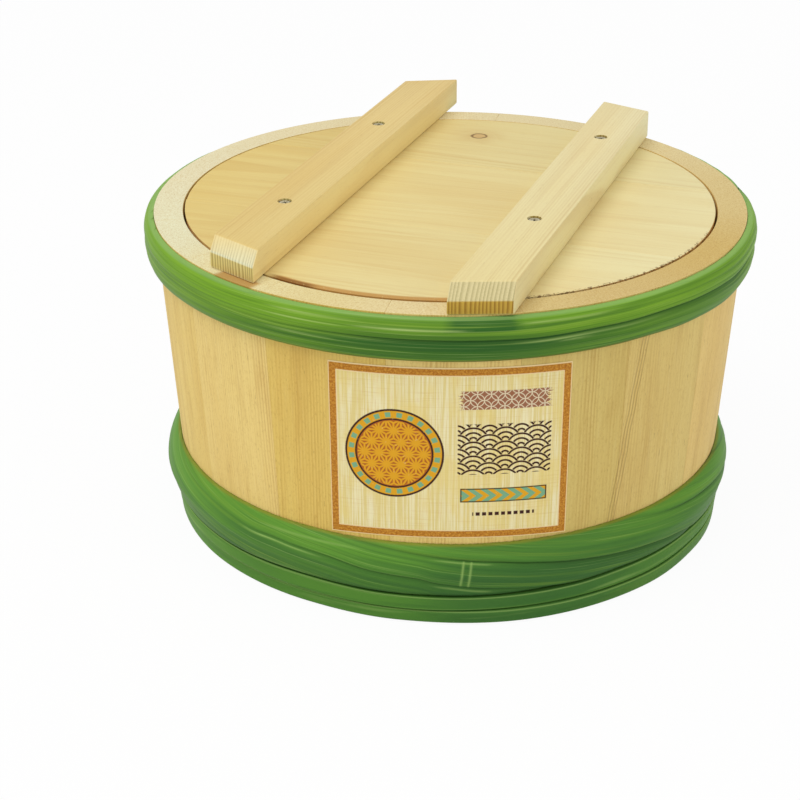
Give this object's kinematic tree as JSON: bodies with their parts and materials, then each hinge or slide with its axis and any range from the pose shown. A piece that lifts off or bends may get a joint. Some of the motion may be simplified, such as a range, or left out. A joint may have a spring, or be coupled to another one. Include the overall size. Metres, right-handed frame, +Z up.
{
  "type": "wooden miso barrel",
  "caption": "Low staved wooden tub for making miso, with green twisted bamboo-look hoops, a paper label and a drop-in plank lid on two battens.",
  "frame": {"origin": "on the tub's axis, on the surface that it stands on; the centre of the whole part's box lies 1.4 mm behind it, because the left batten overhangs the rim further at the back", "axes": "+Z up, the label faces -Y, and +X is to the right of someone who looks at the label"},
  "size_m": [0.2176, 0.2206, 0.1239],
  "materials": {
    "stave_wood": "planed bare softwood, fine upright grain",
    "bottom_wood": "planed bare softwood",
    "lid_wood": "planed bare softwood, grain across the battens",
    "batten_wood": "planed bare softwood, grain along the batten",
    "hoop_plastic": "bamboo-look green, satin sheen, fine lengthwise lines",
    "label_paper": "uncoated printed paper",
    "dowel_bamboo": "split bamboo",
    "screw_steel": "zinc-plated, dull"
  },
  "bodies": {
    "tub": {"stave_01": "stave_wood", "stave_02": "stave_wood", "stave_03": "stave_wood", "stave_04": "stave_wood", "stave_05": "stave_wood", "stave_06": "stave_wood", "stave_07": "stave_wood", "stave_08": "stave_wood", "stave_09": "stave_wood", "stave_10": "stave_wood", "stave_11": "stave_wood", "stave_12": "stave_wood", "stave_13": "stave_wood", "stave_14": "stave_wood", "stave_15": "stave_wood", "stave_16": "stave_wood", "bottom_board_left": "bottom_wood", "bottom_board_right": "bottom_wood", "bottom_dowel_1": "dowel_bamboo", "bottom_dowel_2": "dowel_bamboo", "upper_hoop_strand_1": "hoop_plastic", "upper_hoop_strand_2": "hoop_plastic", "upper_hoop_strand_3": "hoop_plastic", "lower_hoop_foot_strand": "hoop_plastic", "lower_hoop_middle_strand": "hoop_plastic", "lower_hoop_strand_1": "hoop_plastic", "lower_hoop_strand_2": "hoop_plastic", "lower_hoop_strand_3": "hoop_plastic", "lower_hoop_strand_4": "hoop_plastic", "label": "label_paper"},
    "lid": {"lid_board_front": "lid_wood", "lid_board_middle": "lid_wood", "lid_board_back": "lid_wood", "lid_dowel_1": "dowel_bamboo", "lid_dowel_2": "dowel_bamboo", "lid_dowel_3": "dowel_bamboo", "lid_dowel_4": "dowel_bamboo", "left_batten": "batten_wood", "right_batten": "batten_wood", "left_batten_front_screw": "screw_steel", "left_batten_back_screw": "screw_steel", "right_batten_front_screw": "screw_steel", "right_batten_back_screw": "screw_steel"}
  },
  "joints": [
    {"name": "lid_lift", "type": "slide", "parent": "tub", "child": "lid", "axis": [0, 0, 1], "range_m": [0, 0.12]}
  ]
}
